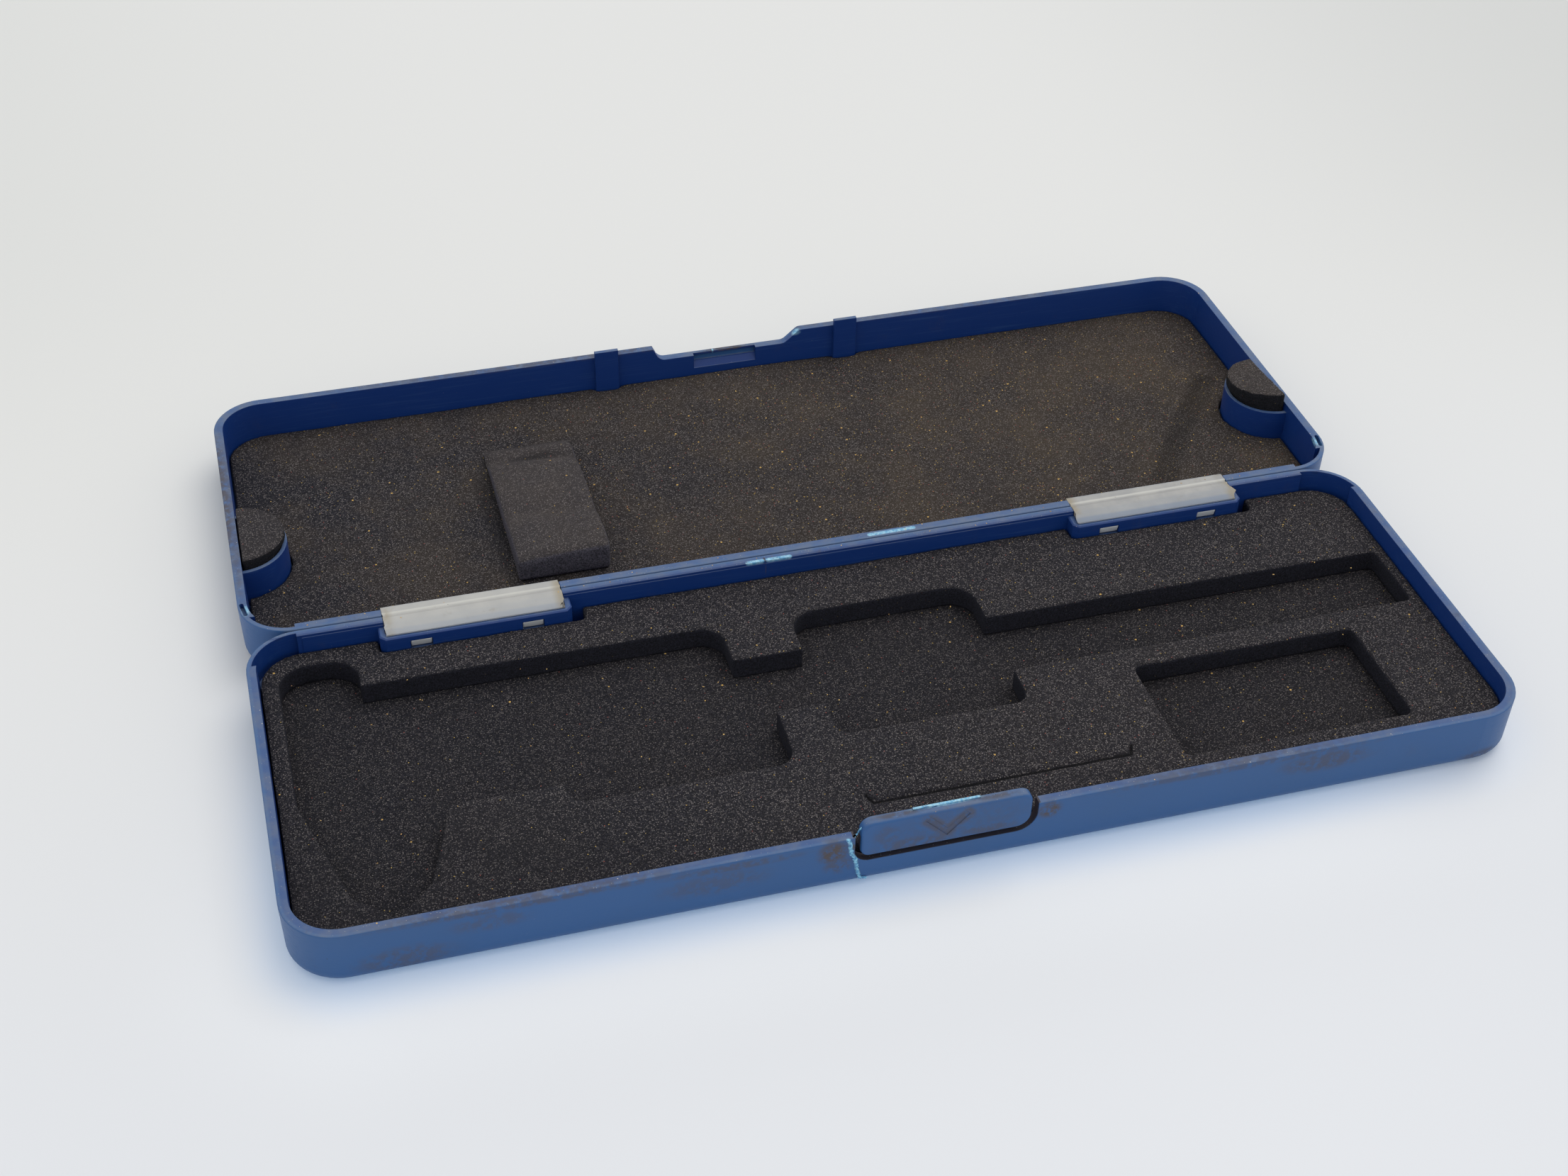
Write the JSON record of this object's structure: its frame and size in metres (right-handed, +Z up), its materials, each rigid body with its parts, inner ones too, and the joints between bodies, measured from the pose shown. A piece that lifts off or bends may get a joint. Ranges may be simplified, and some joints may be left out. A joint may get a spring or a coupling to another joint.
{
  "type": "caliper case",
  "caption": "Hinged plastic case with living hinge strips, a push latch, and die-cut foam pockets for a digital caliper.",
  "frame": {"origin": "centre of the base's underside, on the surface that the case stands on", "axes": "+X to the right along the case, +Y from the latch side to the hinge side, +Z up; the lid lies open behind the base"},
  "size_m": [0.25, 0.1731, 0.0163],
  "materials": {
    "case_plastic": "satin",
    "foam": "matte",
    "hinge_plastic": "satin"
  },
  "bodies": {
    "base": {"base_shell": "case_plastic", "base_foam_backing": "foam", "base_foam_insert": "foam", "hinge_leaf_left_base": "hinge_plastic", "hinge_leaf_right_base": "hinge_plastic"},
    "lid": {"lid_shell": "case_plastic", "lid_foam_sheet": "foam", "lid_foam_block": "foam", "post_pad_left": "foam", "post_pad_right": "foam", "hinge_leaf_left_lid": "hinge_plastic", "hinge_leaf_right_lid": "hinge_plastic"},
    "latch": {"latch_tab": "case_plastic"}
  },
  "joints": [
    {"name": "lid_hinge", "type": "hinge", "parent": "base", "child": "lid", "pos_m": [0, 0.04335, 0.0131], "axis": [1, 0, 0], "range_deg": [0, 180]},
    {"name": "latch_press", "type": "hinge", "parent": "base", "child": "latch", "pos_m": [-0.00045, -0.0415, 0.0069], "axis": [-1, 0, 0], "range_deg": [0, 8], "stiffness_Nm_per_rad": 0.3}
  ]
}
